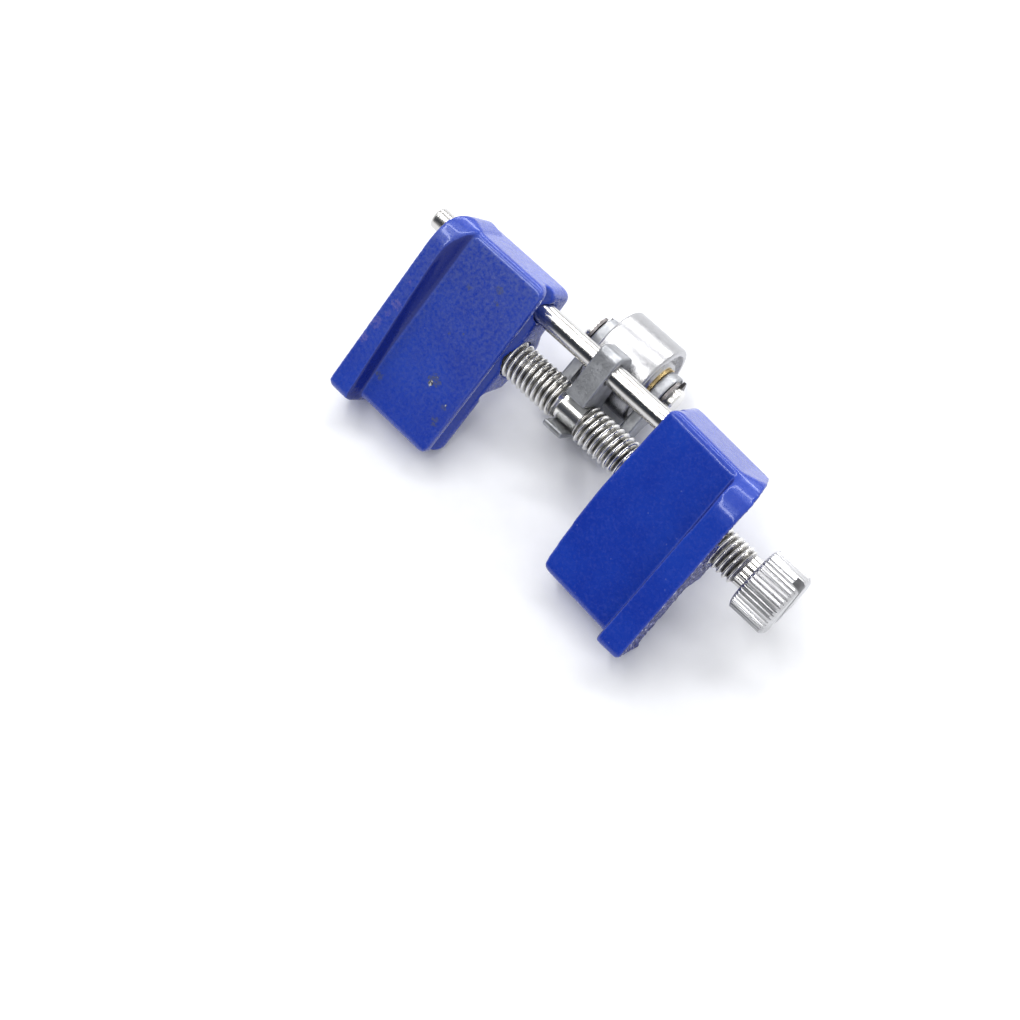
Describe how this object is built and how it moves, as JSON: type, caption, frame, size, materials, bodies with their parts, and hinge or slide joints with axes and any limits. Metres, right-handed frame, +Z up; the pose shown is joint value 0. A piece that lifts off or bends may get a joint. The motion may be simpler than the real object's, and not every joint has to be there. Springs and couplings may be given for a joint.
{
  "type": "honing guide",
  "caption": "Side-clamping sharpening guide: two enamelled jaws with ledges and grooves on a double-threaded clamp screw and rod, with a roller beneath.",
  "frame": {"origin": "where the roller touches the ground, midway between the jaws, with the guide standing on its roller and its two front toes", "axes": "+X across the guide towards the knob, +Y from the front toes towards the roller and the rear, +Z up"},
  "size_m": [0.0981, 0.0533, 0.0308],
  "materials": {
    "blue_enamel": "glossy royal-blue enamel, orange-peel surface, stippled outer faces, small chips",
    "bright_plated_steel": "bright nickel plate",
    "satin_plated_steel": "satin nickel plate, knurled",
    "polished_rod": "polished ground rod",
    "spring_steel": "dark oiled spring steel",
    "cast_carrier": "as-cast zinc grey, fine grain",
    "ground_roller": "ground rim with fine lines and light wear",
    "bronze": "sintered bronze",
    "brass_washer": "stamped brass"
  },
  "bodies": {
    "carrier": {"roller_carrier": "cast_carrier", "roller_axle": "bright_plated_steel", "roller_washers": "brass_washer", "axle_clips": "spring_steel"},
    "roller": {"roller": "ground_roller", "roller_bush": "bronze"},
    "screw": {"clamp_screw": "bright_plated_steel", "screw_knob": "satin_plated_steel"},
    "right_jaw": {"right_jaw": "blue_enamel", "guide_rod": "polished_rod", "guide_rod_pin": "spring_steel"},
    "left_jaw": {"left_jaw": "blue_enamel"}
  },
  "joints": [
    {"name": "screw_turn", "type": "hinge", "parent": "carrier", "child": "screw", "pos_m": [0, -0.01679, 0.01311], "axis": [-1, 0, 0], "range_deg": [-1442, 3602]},
    {"name": "right_jaw_slide", "type": "slide", "parent": "carrier", "child": "right_jaw", "axis": [-1, 0, 0], "range_m": [-0.005, 0.0125]},
    {"name": "left_jaw_slide", "type": "slide", "parent": "carrier", "child": "left_jaw", "axis": [1, 0, 0], "range_m": [-0.00501, 0.01251]},
    {"name": "roller_spin", "type": "hinge", "parent": "carrier", "child": "roller", "pos_m": [0, 0, 0.009], "axis": [1, 0, 0], "continuous": true}
  ],
  "couplings": [
    {"joint": "screw_turn", "follows": "right_jaw_slide", "rad_per_m": 5026.5},
    {"joint": "left_jaw_slide", "follows": "right_jaw_slide", "ratio": 1}
  ]
}
